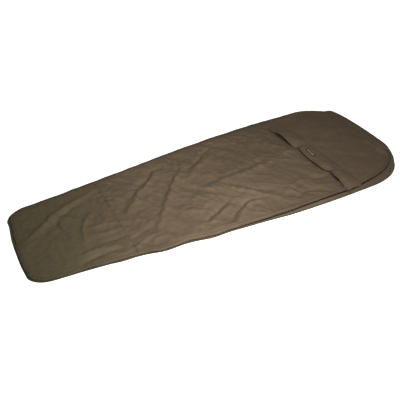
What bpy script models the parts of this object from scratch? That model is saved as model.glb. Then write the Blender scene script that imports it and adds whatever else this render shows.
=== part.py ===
"""Bivy sack: a waterproof sleeping-bag cover lying empty on the ground.

Frame: metres, +X from the foot to the head, +Y across to the far side, +Z up.
The origin is on the ground under the middle of the sack.
The floor lies flat. A wall strip stands round its edge and carries three top panels.
A zip crosses the chest between the body panel and the hood, under a storm flap.
"""

import math

import bmesh
import bpy
from mathutils import Vector

# Plan of the floor
LENGTH = 2.30
FOOT_END_HALF = 0.2175
FOOT_HALF = 0.310
FOOT_CORNER = 0.14
CHEST_HALF = 0.4565
CHEST_X = 0.69
SIDE_POWER = 1.3
HEAD_END_HALF = 0.2425
HEAD_CORNER = 0.345

# Cloth thickness, and the gap that neighbouring pieces keep
FLOOR_T = 0.002
WALL_T = 0.0025
PANEL_T = 0.0015
GAP = 0.0003

# Height of the top seam, foot to head, and how far each wall leans in over it
FOOT_Z = 0.016
FOOT_SEAM_X = -0.62
FOOT_SEAM_Z = 0.024
MOUTH_Z = 0.048
HEAD_Z = 0.100
HEAD_SEAM_X = 1.088
NEAR_LEAN = 0.15
FAR_LEAN = 1.2
END_LEAN = 0.6
LEAN_MOST = 0.095
WALL_DIP = 0.012
CORNER_STEPS = 9
SIDE_STEPS = 16

# Zip across the chest
ZIP_X = 0.625
MOUTH_HALF = 0.009
CHAIN_GAP = 0.0012
CHAIN_W = 0.0043
CHAIN_H = 0.0022
TAPE_W = 0.025
TAPE_T = 0.0008
TAPE_ENDS = (-0.4305, 0.2995)
CHAIN_ENDS = (-0.4145, 0.2895)
STOP_L = 0.005
STOP_H = 0.0032

# Sliders meet nose to nose; each carries a pull tab on a bridge
MEET_Y = 0.1475
SLIDER_L = 0.0165
SLIDER_W = 0.0122
PLATE_T = 0.0013
POST_T = 0.0018
POST_L = 0.006
POST_INSET = 0.0012
PLATE_CUT = 0.22
PLATE_TAPER = 1.6
BRIDGE_L = 0.0068
BRIDGE_W = 0.0024
BRIDGE_HOLE = 0.0024
BRIDGE_WALL = 0.0010
TAB_L = 0.0145
TAB_W = 0.0066
TAB_T = 0.0012
TAB_EYE_W = 0.0038
TAB_BAR = 0.0007
TAB_EYE_END = 0.0046

# Storm flap: sewn to the hood at its rear edge, arched over the zip, closed by three patches
FLAP_ENDS = (-0.4375, 0.3075)
FLAP_REAR_X = 0.700
FLAP_T = 0.0015
FLAP_LIFT = 0.0012
FLAP_REAR_HANDLE = (-0.032, 0.009)
FLAP_HEM_HANDLE = (0.020, 0.040)
HEM_X = 0.611
HEM_W = 0.024
FLAP_STEPS = 14
PATCH_X = 0.604
PATCH_Y = (0.2625, -0.1125, -0.3975)
PATCH_W = 0.012
PATCH_L = 0.030
PATCH_T = 0.0012
LABEL_Y = -0.0795
LABEL_L = 0.100
LABEL_SPAN = (0.50, 0.72)
LABEL_T = 0.0005

# Sealing tape inside the seams
SEAL_W = 0.022
SEAL_T = 0.0005
SEAL_INSET = 0.007
SEAL_END = 0.012


def clear_scene():
    for thing in list(bpy.data.objects):
        bpy.data.objects.remove(thing)


def make_material(name, colour, roughness, metallic=0.0):
    material = bpy.data.materials.new(name)
    material.use_nodes = True
    shader = material.node_tree.nodes["Principled BSDF"]
    shader.inputs["Base Color"].default_value = (*colour, 1.0)
    shader.inputs["Roughness"].default_value = roughness
    shader.inputs["Metallic"].default_value = metallic
    return material


def add_object(name, bm, material, pivot=(0, 0, 0), smooth=False):
    """Stores a mesh built in world coordinates as an object whose origin is the pivot."""
    bmesh.ops.remove_doubles(bm, verts=bm.verts, dist=1e-6)
    bmesh.ops.recalc_face_normals(bm, faces=bm.faces)
    bmesh.ops.translate(bm, verts=bm.verts, vec=-Vector(pivot))
    mesh = bpy.data.meshes.new(name)
    bm.to_mesh(mesh)
    bm.free()
    if smooth:
        mesh.shade_smooth()
        mesh.set_sharp_from_angle(angle=math.radians(35))
    mesh.materials.append(material)
    thing = bpy.data.objects.new(name, mesh)
    thing.location = pivot
    bpy.context.collection.objects.link(thing)
    return thing


def loft(rings):
    """A closed body through equal rings of points, with a cap at each end."""
    bm = bmesh.new()
    rows = [[bm.verts.new(point) for point in ring] for ring in rings]
    count = len(rows[0])
    for low, high in zip(rows, rows[1:]):
        for i in range(count):
            j = (i + 1) % count
            bm.faces.new((low[i], low[j], high[j], high[i]))
    bm.faces.new(rows[0])
    bm.faces.new(rows[-1])
    bmesh.ops.recalc_face_normals(bm, faces=bm.faces)
    return bm


def box(low, high):
    """A plain block between two corners."""
    ring = [(low[0], low[1]), (high[0], low[1]), (high[0], high[1]), (low[0], high[1])]
    return loft([[(x, y, z) for x, y in ring] for z in (low[2], high[2])])


# Plan and height of the seams


def side_half(x):
    """Half the floor's width along the sides, between the two pairs of corners."""
    start = -LENGTH / 2 + FOOT_CORNER
    along = min(max((x - start) / (CHEST_X - start), 0.0), 1.0)
    return FOOT_HALF + (CHEST_HALF - FOOT_HALF) * math.sin(along * math.pi / 2) ** SIDE_POWER


def side_points():
    """Floor points and outward normals on the far side, from the foot corner to the head corner."""
    start = -LENGTH / 2 + FOOT_CORNER + GAP
    end = LENGTH / 2 - HEAD_CORNER - GAP
    places = [start + (end - start) * i / SIDE_STEPS for i in range(SIDE_STEPS + 1)]
    places += [FOOT_SEAM_X, ZIP_X - WALL_DIP, ZIP_X + WALL_DIP]
    points = []
    for x in sorted(places):
        slope = (side_half(x + 1e-4) - side_half(x - 1e-4)) / 2e-4
        points.append((Vector((x, side_half(x))), Vector((-slope, 1.0)).normalized()))
    return points


def corner_points(end_x, end_half, length, width, direction):
    """Floor points and normals round one far-side corner, from the end to the side."""
    points = []
    for i in range(CORNER_STEPS + 1):
        turn = math.radians(90) * i / CORNER_STEPS
        x = end_x - direction * length * (1 - math.cos(turn))
        y = end_half + width * math.sin(turn)
        normal = Vector((direction * math.cos(turn) / length, math.sin(turn) / width))
        points.append((Vector((x, y)), normal.normalized()))
    return points


def foot_corner():
    width = FOOT_HALF - FOOT_END_HALF
    return corner_points(-LENGTH / 2, FOOT_END_HALF, FOOT_CORNER, width, -1)


def head_corner():
    width = CHEST_HALF - HEAD_END_HALF
    return corner_points(LENGTH / 2, HEAD_END_HALF, HEAD_CORNER, width, 1)


def mirrored(points):
    return [(Vector((p.x, -p.y)), Vector((n.x, -n.y))) for p, n in points]


def seam_height(x):
    """Height of the top seam, which the three top panels follow as straight ramps."""
    knots = [
        (-LENGTH / 2, FOOT_Z),
        (FOOT_SEAM_X, FOOT_SEAM_Z),
        (ZIP_X - MOUTH_HALF, MOUTH_Z),
        (ZIP_X + MOUTH_HALF, MOUTH_Z),
        (HEAD_SEAM_X, HEAD_Z),
    ]
    for (x0, z0), (x1, z1) in zip(knots, knots[1:]):
        if x <= x1 or x1 == HEAD_SEAM_X:
            return z0 + (z1 - z0) * (x - x0) / (x1 - x0)


def seam_point(point, normal):
    """The top seam over a floor point: the wall leans in by a share of its height."""
    side_lean = FAR_LEAN if point.y > 0 else NEAR_LEAN
    lean = END_LEAN + (side_lean - END_LEAN) * normal.y**2
    return point - normal * min(lean * seam_height(point.x), LEAN_MOST)


def seam_loop():
    """The whole top seam in plan, once round."""
    far = foot_corner() + side_points() + head_corner()[::-1]
    near = mirrored(far)[::-1]
    return [seam_point(p, n) for p, n in far + near]


def floor_loop():
    far = foot_corner() + side_points() + head_corner()[::-1]
    return [p for p, n in far + mirrored(far)[::-1]]


def clip_loop(loop, x0, x1):
    """The part of a plan loop between two cross lines."""
    for limit, keep in ((x0, 1), (x1, -1)):
        result = []
        for a, b in zip(loop, loop[1:] + loop[:1]):
            inside_a = keep * (a.x - limit) >= 0
            inside_b = keep * (b.x - limit) >= 0
            if inside_a:
                result.append(a)
            if inside_a != inside_b:
                result.append(a.lerp(b, (limit - a.x) / (b.x - a.x)))
        loop = result
    return loop


# Cloth body


def make_floor(material):
    loop = floor_loop()
    rings = [[(p.x, p.y, z) for p in loop] for z in (0.0, FLOOR_T)]
    return add_object("floor_panel", loft(rings), material)


def make_panel(name, x0, x1, material, pivot=(0, 0, 0)):
    """A flat top panel between two cross lines, resting on the walls' top edges."""
    loop = clip_loop(seam_loop(), x0, x1)
    rings = [[(p.x, p.y, seam_height(p.x) + GAP + t) for p in loop] for t in (0.0, PANEL_T)]
    return add_object(name, loft(rings), material, pivot)


def make_wall(name, points, material):
    """A strip from the floor's edge up to the top seam."""
    rings = []
    for point, normal in points:
        top = seam_point(point, normal)
        inner = point - normal * WALL_T
        top_inner = top - normal * WALL_T
        z_top = seam_height(min(top.x, top_inner.x) - WALL_DIP)
        rings.append([
            (point.x, point.y, FLOOR_T + GAP),
            (top.x, top.y, z_top),
            (top_inner.x, top_inner.y, z_top),
            (inner.x, inner.y, FLOOR_T + GAP),
        ])
    return add_object(name, loft(rings), material)


def make_walls(material):
    """Four strips: round the foot, along each side, and round the head."""
    foot, side, head = foot_corner(), side_points(), head_corner()
    make_wall("foot_wall", mirrored(foot)[::-1] + foot, material)
    make_wall("side_wall_right", side, material)
    make_wall("side_wall_left", mirrored(side), material)
    make_wall("head_wall", head[::-1] + mirrored(head), material)


def make_seal_tapes(material):
    """Sealing tape under the foot seam and along the inside of both side seams."""
    loop = clip_loop(seam_loop(), FOOT_SEAM_X - SEAL_W / 2, FOOT_SEAM_X + SEAL_W / 2)
    reach = SEAL_INSET + SEAL_W + SEAL_INSET
    low, high = min(p.y for p in loop) + reach, max(p.y for p in loop) - reach
    across = (FOOT_SEAM_X - SEAL_W / 2, FOOT_SEAM_X, FOOT_SEAM_X + SEAL_W / 2)
    upper = [(x, 2 * GAP) for x in across]
    lower = [(x, 2 * GAP + SEAL_T) for x in across[::-1]]
    rings = [[(x, y, seam_height(x) - drop) for x, drop in upper + lower] for y in (low, high)]
    add_object("foot_seam_tape", loft(rings), material)
    make_side_tape("seam_tape_right", side_points(), material)
    make_side_tape("seam_tape_left", mirrored(side_points()), material)


def make_side_tape(name, points, material):
    rings = []
    for point, normal in points:
        if point.x > ZIP_X - TAPE_W - SEAL_END:
            break
        seam = seam_point(point, normal)
        outer = seam - normal * SEAL_INSET
        inner = outer - normal * SEAL_W
        rings.append([
            (outer.x, outer.y, seam_height(outer.x) - 2 * GAP),
            (inner.x, inner.y, seam_height(inner.x) - 2 * GAP),
            (inner.x, inner.y, seam_height(inner.x) - 2 * GAP - SEAL_T),
            (outer.x, outer.y, seam_height(outer.x) - 2 * GAP - SEAL_T),
        ])
    add_object(name, loft(rings), material)


# Zip


def tape_top():
    return MOUTH_Z - GAP


def make_zip_half(side, sign, tape_material, chain_material, metal, pivot):
    """One half of the zip: its woven tape, its chain and a stop at each end."""
    edge = ZIP_X + sign * CHAIN_GAP
    top = tape_top()

    def span(width, y0, y1, z0, z1):
        x0, x1 = sorted((edge, edge + sign * width))
        return box((x0, y0, z0), (x1, y1, z1))

    tape = span(TAPE_W, *TAPE_ENDS, top - TAPE_T, top)
    add_object(f"zip_tape_{side}", tape, tape_material, pivot)
    low = top + GAP
    chain = span(CHAIN_W, *CHAIN_ENDS, low, low + CHAIN_H)
    add_object(f"zip_chain_{side}", chain, chain_material, pivot)
    ends = {"left": CHAIN_ENDS[0] - GAP - STOP_L, "right": CHAIN_ENDS[1] + GAP}
    for end, y in ends.items():
        stop = span(CHAIN_W, y, y + STOP_L, low, low + STOP_H)
        add_object(f"zip_stop_{side}_{end}", stop, metal, pivot)


def fused(blocks):
    """Joins overlapping blocks into one body."""
    base = blocks[0]
    for other in blocks[1:]:
        cutter_mesh = bpy.data.meshes.new("cutter")
        other.to_mesh(cutter_mesh)
        other.free()
        cutter = bpy.data.objects.new("cutter", cutter_mesh)
        base_mesh = bpy.data.meshes.new("base")
        base.to_mesh(base_mesh)
        body = bpy.data.objects.new("base", base_mesh)
        for thing in (cutter, body):
            bpy.context.collection.objects.link(thing)
        union = body.modifiers.new("union", "BOOLEAN")
        union.operation = "UNION"
        union.solver = "EXACT"
        union.object = cutter
        bpy.context.view_layer.update()
        joined = body.evaluated_get(bpy.context.evaluated_depsgraph_get())
        base.clear()
        base.from_mesh(joined.data)
        bpy.data.objects.remove(body)
        bpy.data.objects.remove(cutter)
    return base


def slider_levels():
    """Heights of the slider's plates, and of the bar that the tab turns on."""
    low = tape_top() - TAPE_T - 2 * GAP
    high = tape_top() + GAP + CHAIN_H + 2 * GAP
    return low, high, high + PLATE_T + BRIDGE_HOLE / 2


def plate(y, length, width, z0, z1):
    """A slider plate with its corners cut off, wider towards the middle."""
    cut = width * PLATE_CUT
    long_cut = cut * PLATE_TAPER
    half_l, half_w = length / 2, width / 2
    ring = [
        (-half_w + cut, -half_l), (half_w - cut, -half_l), (half_w, -half_l + long_cut),
        (half_w, half_l - long_cut), (half_w - cut, half_l), (-half_w + cut, half_l),
        (-half_w, half_l - long_cut), (-half_w, -half_l + long_cut),
    ]
    return loft([[(ZIP_X + a, y + b, z) for a, b in ring] for z in (z0, z1)])


def make_slider(name, y, nose, material):
    """Two plates joined by the post that parts the chains, with a bridge on top."""
    low, high, _ = slider_levels()
    top = high + PLATE_T
    post_y = y + nose * (SLIDER_L / 2 - POST_L / 2 - POST_INSET)
    post = box(
        (ZIP_X - POST_T / 2, post_y - POST_L / 2, low - PLATE_T / 2),
        (ZIP_X + POST_T / 2, post_y + POST_L / 2, high + PLATE_T / 2),
    )
    half, inside = BRIDGE_L / 2, BRIDGE_L / 2 - 2 * BRIDGE_WALL
    foot, roof = top - PLATE_T / 2, top + BRIDGE_HOLE
    crown = roof + BRIDGE_WALL
    arch = [
        (-half, foot), (-inside, foot), (-inside, roof), (inside, roof), (inside, foot), (half, foot),
        (half, roof), (half - BRIDGE_WALL, crown), (BRIDGE_WALL - half, crown), (-half, roof),
    ]
    sides = (ZIP_X - BRIDGE_W / 2, ZIP_X + BRIDGE_W / 2)
    bridge = loft([[(x, y + a, z) for a, z in arch] for x in sides])
    lower = plate(y, SLIDER_L, SLIDER_W, low - PLATE_T, low)
    upper = plate(y, SLIDER_L, SLIDER_W, high, top)
    return add_object(name, fused([upper, post, lower, bridge]), material, (ZIP_X, y, top))


def make_tab(name, y, away, material):
    """A pull tab whose eye turns on the bridge; its far end points away from the other slider."""
    bar = slider_levels()[2]
    z0, z1 = bar - TAB_T / 2, bar + TAB_T / 2
    half, eye = TAB_W / 2, TAB_EYE_W / 2
    tip = TAB_L - half
    outline = [(-half, -TAB_BAR), (half, -TAB_BAR), (half, tip)]
    for i in range(1, 8):
        turn = math.pi * i / 8
        outline.append((half * math.cos(turn), tip + half * math.sin(turn)))
    outline.append((-half, tip))
    hole = [(-eye, TAB_BAR), (eye, TAB_BAR), (eye, TAB_EYE_END), (-eye, TAB_EYE_END)]
    bm = bmesh.new()
    ends = []
    for z in (z0, z1):
        loops = []
        for ring in (outline, hole):
            verts = [bm.verts.new((ZIP_X + a, y + away * b, z)) for a, b in ring]
            edges = [bm.edges.new((v, w)) for v, w in zip(verts, verts[1:] + verts[:1])]
            loops.append((verts, edges))
        bmesh.ops.triangle_fill(bm, use_beauty=True, edges=loops[0][1] + loops[1][1])
        ends.append(loops)
    for (low, _), (high, _) in zip(*ends):
        for i in range(len(low)):
            j = (i + 1) % len(low)
            bm.faces.new((low[i], low[j], high[j], high[i]))
    return add_object(name, bm, material, (ZIP_X, y, bar), smooth=True)


# Storm flap


def patch_stack():
    """Height of the flap's underside over the body panel where the patches meet."""
    return 2 * PATCH_T + 3 * GAP


def panel_top(x):
    return seam_height(x) + GAP + PANEL_T


def flap_profile():
    """Underside of the flap from its sewn rear edge, over the zip, down to the hem."""
    rear = Vector((FLAP_REAR_X, panel_top(FLAP_REAR_X) + FLAP_LIFT))
    hem = Vector((HEM_X, panel_top(HEM_X) + patch_stack()))
    lean = rear + Vector(FLAP_REAR_HANDLE)
    rise = hem + Vector(FLAP_HEM_HANDLE)
    points = []
    for i in range(FLAP_STEPS + 1):
        t = i / FLAP_STEPS
        near_rear = rear * (1 - t) ** 3 + lean * 3 * (1 - t) ** 2 * t
        near_hem = rise * 3 * (1 - t) * t**2 + hem * t**3
        points.append(near_rear + near_hem)
    edge_x = HEM_X - HEM_W
    points.append(Vector((edge_x, panel_top(edge_x) + patch_stack())))
    return points


def offset_profile(points, distance):
    """The profile moved out along its own normals."""
    result = []
    for i, point in enumerate(points):
        ahead = points[min(i + 1, len(points) - 1)]
        behind = points[max(i - 1, 0)]
        along = (ahead - behind).normalized()
        result.append(point + Vector((along.y, -along.x)) * distance)
    return result


def strip(inner, outer, y0, y1):
    """A sheet between two profiles, from one side to the other."""
    ring = inner + outer[::-1]
    return loft([[(p.x, y, p.y) for p in ring] for y in (y0, y1)])


def flap_hinge():
    rear = flap_profile()[0]
    return (rear.x, 0.0, rear.y + FLAP_T)


def make_flap(flap_material, label_material, patch_material):
    pivot = flap_hinge()
    inner = flap_profile()
    outer = offset_profile(inner, FLAP_T)
    outer[0] = Vector((inner[0].x, inner[0].y + FLAP_T))
    add_object("storm_flap", strip(inner, outer, *FLAP_ENDS), flap_material, pivot)
    first, last = (int(round(share * FLAP_STEPS)) for share in LABEL_SPAN)
    low = offset_profile(inner, FLAP_T + GAP)[first:last + 1]
    high = offset_profile(inner, FLAP_T + GAP + LABEL_T)[first:last + 1]
    label = strip(low, high, LABEL_Y - LABEL_L / 2, LABEL_Y + LABEL_L / 2)
    add_object("woven_label", label, label_material, pivot)
    for number, y in enumerate(PATCH_Y, 1):
        make_patch(f"loop_patch_{number}", y, GAP, patch_material, (0, 0, 0))
        make_patch(f"hook_patch_{number}", y, PATCH_T + 2 * GAP, patch_material, pivot)


def make_patch(name, y, lift, material, pivot):
    """A fastening patch lying parallel to the body panel, under the flap's hem."""
    x0 = PATCH_X - PATCH_W / 2
    rings = []
    for side in (y - PATCH_L / 2, y + PATCH_L / 2):
        rings.append([
            (x, side, panel_top(x) + lift + rise)
            for x, rise in ((x0, 0), (x0 + PATCH_W, 0), (x0 + PATCH_W, PATCH_T), (x0, PATCH_T))
        ])
    add_object(name, loft(rings), material, pivot)


def hood_hinge():
    """The head seam, which the hood lifts about."""
    rear = max(p.x for p in seam_loop())
    return (rear, 0.0, panel_top(rear))


def build():
    clear_scene()
    shell = make_material("shell_fabric", (0.165, 0.120, 0.078), 0.62)
    floor = make_material("floor_fabric", (0.110, 0.086, 0.058), 0.55)
    tape = make_material("zip_tape", (0.090, 0.075, 0.050), 0.85)
    chain = make_material("zip_chain", (0.060, 0.052, 0.040), 0.45)
    metal = make_material("zip_metal", (0.150, 0.135, 0.110), 0.38, 0.8)
    patch = make_material("patch_fabric", (0.100, 0.080, 0.055), 0.95)
    label = make_material("label_fabric", (0.140, 0.110, 0.080), 0.80)
    seal = make_material("sealing_tape", (0.300, 0.290, 0.260), 0.35)
    hinge = hood_hinge()
    make_floor(floor)
    make_walls(shell)
    make_panel("foot_panel", -LENGTH, FOOT_SEAM_X - GAP, shell)
    make_panel("body_panel", FOOT_SEAM_X + GAP, ZIP_X - MOUTH_HALF, shell)
    make_panel("hood_panel", ZIP_X + MOUTH_HALF, LENGTH, shell, hinge)
    make_seal_tapes(seal)
    make_zip_half("lower", -1, tape, chain, metal, (0, 0, 0))
    make_zip_half("upper", 1, tape, chain, metal, hinge)
    for side, away in (("left", -1), ("right", 1)):
        y = MEET_Y + away * (SLIDER_L / 2 + GAP)
        make_slider(f"zip_slider_{side}", y, -away, metal)
        make_tab(f"pull_tab_{side}", y, away, metal)
    make_flap(shell, label, patch)


build()
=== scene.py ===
import math

import bmesh
import bpy
import numpy as np
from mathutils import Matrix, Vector


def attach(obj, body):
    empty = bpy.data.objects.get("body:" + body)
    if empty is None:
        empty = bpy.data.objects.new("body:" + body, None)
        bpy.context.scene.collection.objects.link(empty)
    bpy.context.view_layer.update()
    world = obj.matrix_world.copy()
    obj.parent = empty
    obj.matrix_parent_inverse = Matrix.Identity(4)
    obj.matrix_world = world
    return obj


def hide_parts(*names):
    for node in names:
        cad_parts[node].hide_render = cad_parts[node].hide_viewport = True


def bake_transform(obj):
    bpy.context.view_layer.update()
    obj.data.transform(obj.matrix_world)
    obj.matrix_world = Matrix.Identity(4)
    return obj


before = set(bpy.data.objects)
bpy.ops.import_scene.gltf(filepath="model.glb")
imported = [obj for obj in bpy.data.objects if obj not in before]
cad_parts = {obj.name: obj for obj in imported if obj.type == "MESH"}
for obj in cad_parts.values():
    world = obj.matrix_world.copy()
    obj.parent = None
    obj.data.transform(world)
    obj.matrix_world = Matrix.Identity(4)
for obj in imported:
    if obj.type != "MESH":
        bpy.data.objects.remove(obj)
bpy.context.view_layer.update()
print("frame loaded")

# Plan of the sack: foot at -x, head at +x, near side at -y, all in metres
plan = {
    "length": 2.30,
    "footEndHalf": 0.2175,
    "footHalf": 0.310,
    "footCorner": 0.14,
    "chestHalf": 0.4565,
    "chestX": 0.69,
    "sidePower": 1.3,
    "headEndHalf": 0.2425,
    "headCorner": 0.345,
    "rimStep": 0.004,
}
# Level of the top cloth along the sack: (x, height)
level = [
    (-1.15, 0.0178), (-0.62, 0.0258), (0.616, 0.0498), (0.634, 0.0498), (0.690, 0.0575),
    (0.712, 0.0583), (0.80, 0.0745), (0.90, 0.0870), (1.00, 0.0960), (1.088, 0.1000), (1.15, 0.1010),
]
seamAt = {
    "foot": -0.62, "mouthStart": 0.616, "mouthEnd": 0.634, "zip": 0.625, "zipEnds": (-0.4305, 0.2995),
}
# The top seam on each side: (x, height) and (x, how far it leans in over the floor's edge)
seams = {
    "farHigh": [
        (-1.15, 0.013), (-1.05, 0.020), (-0.62, 0.030), (0.0, 0.040), (0.30, 0.044), (0.62, 0.050),
        (0.70, 0.054), (0.85, 0.074), (1.0, 0.090), (1.08, 0.098), (1.15, 0.102),
    ],
    "farLean": [
        (-1.15, 0.012), (-1.05, 0.018), (-0.90, 0.024), (-0.62, 0.030), (0.0, 0.042), (0.62, 0.050),
        (0.80, 0.066), (1.0, 0.082), (1.12, 0.080), (1.15, 0.062),
    ],
    "nearHigh": [
        (-1.15, 0.010), (-0.62, 0.0125), (-0.1, 0.015), (0.15, 0.019), (0.30, 0.027), (0.45, 0.031),
        (0.57, 0.030), (0.625, 0.025), (0.68, 0.028), (0.80, 0.048), (0.90, 0.061), (1.0, 0.075),
        (1.08, 0.092), (1.15, 0.102),
    ],
    "nearLean": [
        (-1.15, 0.003), (-1.05, -0.004), (0.05, -0.006), (0.30, 0.005), (0.60, 0.008), (0.80, 0.012),
        (0.95, 0.022), (1.08, 0.046), (1.13, 0.058), (1.15, 0.062),
    ],
    "farRound": [(-1.15, 1.0), (0.55, 1.0), (0.85, 0.25), (1.15, 0.1)],
    "nearRound": [(-1.15, 0.6), (0.55, 0.3), (1.15, 0.1)],
    "headLean": {"at": (1.085, 0.345), "size": 0.13, "lean": 0.045},
    "ease": 30,  # smoothing passes along these lines
    "headRound": {"from": 0.85, "over": 0.1, "ease": 80},
    # where the outline stands in from the pattern: place, size, depth
    "farTucks": [((-1.13, 0.20), 0.09, 0.013)],
    "nearTucks": [
        ((-1.115, 0.245), 0.085, 0.011), ((1.115, 0.29), 0.15, 0.016), ((-0.70, 0.335), 0.05, -0.005),
        ((-0.49, 0.37), 0.075, -0.013), ((-0.24, 0.40), 0.07, -0.010),
    ],
    "underTuck": 0.007,
    "scallop": 0.007,
    "scallopSize": 0.085,
    "farWave": 0.0030,
    "farWaveSize": 0.075,
}
cloth = {"thick": 0.0011, "gridStep": 0.0052, "floorClear": 0.0075}


def smooth(t):
    t = np.clip(t, 0.0, 1.0)
    return t * t * (3 - 2 * t)


def rise(x, start, over):
    # 0 below the start, 1 past it
    return smooth((x - start) / over)


def fall(x, start, over):
    # 0 above the start, 1 below it
    return smooth((start - x) / over)


def bump(t):
    return np.exp(-t * t)


def mix(a, b, t):
    return a + (b - a) * t


noise = {"cells": 61, "shift": (31.7, 17.3), "gain": 1.5}


def softNoise(x, y, size, seed):
    # gradient noise from about -1 to 1, with features about size metres across
    cells = noise["cells"]
    turns = np.random.default_rng(seed).uniform(0, 2 * math.pi, (cells, cells))
    gx, gy = x / size + noise["shift"][0], y / size + noise["shift"][1]
    ix, iy = np.floor(gx).astype(int), np.floor(gy).astype(int)
    fx, fy = gx - ix, gy - iy

    def corner(dx, dy):
        turn = turns[(ix + dx) % cells, (iy + dy) % cells]
        return np.cos(turn) * (fx - dx) + np.sin(turn) * (fy - dy)

    sx, sy = (f**3 * (f * (f * 6 - 15) + 10) for f in (fx, fy))
    low = mix(corner(0, 0), corner(1, 0), sx)
    high = mix(corner(0, 1), corner(1, 1), sx)
    return noise["gain"] * mix(low, high, sy)


def valueAt(x, keys):
    # a value from a list of (x, value)
    return np.interp(x, *zip(*keys))


def lengthAlong(points):
    # distance from the first point of a line to each of its points
    return np.concatenate([[0], np.cumsum(np.linalg.norm(np.diff(points, axis=0), axis=1))])


def sideHalf(x):
    start = plan["footCorner"] - plan["length"] / 2
    share = np.clip((x - start) / (plan["chestX"] - start), 0, 1)
    return mix(plan["footHalf"], plan["chestHalf"], np.sin(share * math.pi / 2) ** plan["sidePower"])


def evenly(points, step=None, count=None):
    # the same line with points at even distances
    along = lengthAlong(points)
    count = count or max(2, round(along[-1] / step) + 1)
    at = np.linspace(0, along[-1], count)
    return np.stack([np.interp(at, along, points[:, k]) for k in range(points.shape[1])], axis=1)


def halfRim():
    # the far half of the floor's outline, from the middle of the foot to the middle of the head
    p, end = plan, plan["length"] / 2
    turn = np.linspace(0, math.pi / 2, 60)
    foot = np.stack([
        -end + p["footCorner"] * (1 - np.cos(turn)),
        p["footEndHalf"] + (p["footHalf"] - p["footEndHalf"]) * np.sin(turn),
    ], axis=1)
    head = np.stack([
        end - p["headCorner"] * (1 - np.cos(turn)),
        p["headEndHalf"] + (p["chestHalf"] - p["headEndHalf"]) * np.sin(turn),
    ], axis=1)[::-1]
    x = np.linspace(foot[-1, 0], head[0, 0], 300)[1:-1]
    side = np.stack([x, sideHalf(x)], axis=1)
    return evenly(np.concatenate([[[-end, 0]], foot, side, head, [[end, 0]]]), plan["rimStep"])


def rimNormals(points):
    along = np.gradient(points, axis=0)
    normals = np.stack([-along[:, 1], along[:, 0]], axis=1)
    normals /= np.linalg.norm(normals, axis=1)[:, None]
    for _ in range(6):
        normals[1:-1] = (normals[:-2] + normals[1:-1] * 2 + normals[2:]) / 4
        normals /= np.linalg.norm(normals, axis=1)[:, None]
    return normals


def smoothed(values, times):
    for _ in range(times):
        inner = (values[:-2] + values[1:-1] * 2 + values[2:]) / 4
        values = np.concatenate([values[:1], inner, values[-1:]])
    return values


def nearTo(points, at, size):
    return bump(np.hypot(points[:, 0] - at[0], points[:, 1] - at[1]) / size)


def seamLine(side):
    # one side's floor outline, its normals, the top seam over it, the seam's height, the wall's roundness
    word = "far" if side > 0 else "near"
    low = halfRim()
    out = rimNormals(low)
    x = low[:, 0]
    high, lean, full = (
        smoothed(valueAt(x, seams[word + key]), seams["ease"]) for key in ("High", "Lean", "Round")
    )
    inward = sum(depth * nearTo(low, at, size) for at, size, depth in seams[word + "Tucks"])
    if side > 0:
        head = seams["headLean"]
        lean = lean + head["lean"] * nearTo(low, head["at"], head["size"])
        wave = softNoise(x, 0 * x + 0.7, seams["farWaveSize"], 16) * fall(x, 0.9, 0.3)
        high = high + seams["farWave"] * wave
    else:
        loose = fall(x, 0.25, 0.2) * rise(x, -1.12, 0.1)
        lean = lean - loose * seams["scallop"] * softNoise(x, 0 * x + 0.4, seams["scallopSize"], 15)
        inward = inward + seams["underTuck"] * loose
    low = low - out * inward[:, None]
    seam = low - out * lean[:, None]
    rounder = seams["headRound"]
    share = rise(x, rounder["from"], rounder["over"])[:, None]
    seam = mix(seam, smoothed(seam, rounder["ease"]), share)
    mirror = np.array([1, side])
    return low * mirror, out * mirror, seam * mirror, high, full


farLow, farOut, farSeam, farHigh, farRound = seamLine(1)
nearLow, nearOut, nearSeam, nearHigh, nearRound = seamLine(-1)
# once round, from the middle of the foot over the far side and back on the near side
loopLow = np.concatenate([farLow, nearLow[::-1][1:-1]])
loopSeam = np.concatenate([farSeam, nearSeam[::-1][1:-1]])
loopHigh = np.concatenate([farHigh, nearHigh[::-1][1:-1]])
loopArc = lengthAlong(loopLow)


def toSeam(x, y):
    # distance in from the top seam, the seam's height there, and how far round it is
    points = np.stack([np.ravel(x), np.ravel(y)], axis=1)
    distance, where = np.empty(len(points)), np.empty(len(points), int)
    batch = 4000
    for i in range(0, len(points), batch):
        gap = ((points[i:i + batch, None, :] - loopSeam[None, :, :]) ** 2).sum(2)
        where[i:i + batch] = gap.argmin(1)
        distance[i:i + batch] = np.sqrt(gap.min(1))
    shape = np.shape(x)
    return distance.reshape(shape), loopHigh[where].reshape(shape), loopArc[where].reshape(shape)


# How loose the top cloth lies: heights and sizes in metres
slack = {
    "broad": 0.0035, "broadSize": 0.26,
    "diagonal": 0.0056, "diagonalSize": 0.085, "diagonalOnHood": 0.0020,
    "crease": 0.0056, "creaseSize": 0.048, "creaseOnHood": 0.0012, "creaseSpots": 0.19,
    "fine": 0.0022, "fineSize": 0.032, "fineOnHood": 0.6,
    "wander": 0.03, "wanderSize": 0.23,
    "fold": 1.6, "foldWidth": 1.4, "foldWander": 0.35, "foldWanderSize": 0.07, "foldStep": 0.008,
    "pucker": 0.0018, "puckerSize": 0.022, "puckerReach": 0.016,
    "seamPucker": 0.0042, "seamPuckerSize": 0.021, "seamReach": 0.030, "seamValley": 1.2,
    "ridge": 0.0009, "ridgeWidth": 0.013, "crown": 0.007, "dip": 0.004,
    "footShare": 0.55, "sewnShare": 0.3, "zipShare": 0.35,
}

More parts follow.
